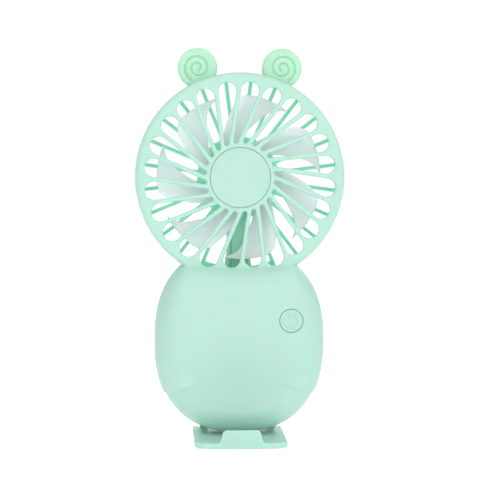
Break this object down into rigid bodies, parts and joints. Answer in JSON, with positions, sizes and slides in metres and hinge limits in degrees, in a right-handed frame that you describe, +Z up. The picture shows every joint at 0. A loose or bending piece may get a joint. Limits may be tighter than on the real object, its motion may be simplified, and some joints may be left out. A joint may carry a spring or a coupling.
{
  "type": "handheld electric fan",
  "caption": "Pocket fan with a caged round head and two round ears, an egg-shaped grip with a side power button, and a folding foot with a phone stop.",
  "frame": {"origin": "on the ground, in the middle of the object's footprint seen from above", "axes": "+Z up, -Y towards the user (the face with the power button), +X to the right of someone who faces the fan"},
  "size_m": [0.1026, 0.0486, 0.1931],
  "materials": {
    "mint_plastic": "satin moulded plastic, fine spark texture",
    "ear_plastic": "slightly translucent satin plastic",
    "frosted_plastic": "frosted translucent plastic",
    "steel": "plated steel",
    "bronze": "sintered bronze, satin",
    "copper": "enamelled copper windings",
    "nickel": "nickel strip",
    "ferrite": "pressed ferrite, matt",
    "black_plastic": "matt black moulding",
    "cream_plastic": "cream moulding, satin",
    "cell_wrap": "shrunk plastic sleeve",
    "board_green": "solder mask over glass fibre",
    "lamp_lens": "clear resin lamp",
    "pad_rubber": "soft pale green rubber",
    "red_insulation": "satin wire insulation",
    "black_insulation": "satin wire insulation"
  },
  "bodies": {
    "fan_body": {"front_shell": "mint_plastic", "rear_shell": "mint_plastic", "hub_cap": "mint_plastic", "ear_left": "ear_plastic", "ear_right": "ear_plastic", "motor_can": "steel", "motor_end_cap": "cream_plastic", "motor_magnet": "ferrite", "front_bush": "bronze", "rear_bush": "bronze", "motor_screw_1": "steel", "motor_screw_2": "steel", "conduit_cover": "mint_plastic", "battery_cell": "cell_wrap", "cell_tab_top": "nickel", "cell_tab_bottom": "nickel", "control_board": "board_green", "board_screw_1": "steel", "board_screw_2": "steel", "charge_chip": "black_plastic", "inductor": "ferrite", "status_lamp": "lamp_lens", "tact_switch": "black_plastic", "charging_socket": "steel", "socket_tongue": "black_plastic", "motor_lead_red": "red_insulation", "motor_lead_black": "black_insulation", "cell_lead_red": "red_insulation", "cell_lead_black": "black_insulation", "shell_screw_1": "steel", "shell_screw_2": "steel", "shell_screw_3": "steel", "shell_screw_4": "steel"},
    "impeller": {"impeller": "frosted_plastic", "motor_rotor": "copper", "motor_shaft": "steel"},
    "power_button": {"power_button": "mint_plastic", "switch_plunger": "black_plastic"},
    "foot": {"foot_plate": "mint_plastic", "foot_pad": "pad_rubber", "foot_pin": "steel"}
  },
  "joints": [
    {"name": "impeller_spin", "type": "hinge", "parent": "fan_body", "child": "impeller", "pos_m": [0, 0.0073, 0.1297], "axis": [0, -1, 0], "continuous": true},
    {"name": "power_button_press", "type": "slide", "parent": "fan_body", "child": "power_button", "axis": [0, 1, 0], "range_m": [0, 0.0005], "stiffness_N_per_m": 800, "springref_m": -0.0005},
    {"name": "foot_fold", "type": "hinge", "parent": "fan_body", "child": "foot", "pos_m": [0, 0.0229, 0.00165], "axis": [1, 0, 0], "range_deg": [0, 270]}
  ]
}
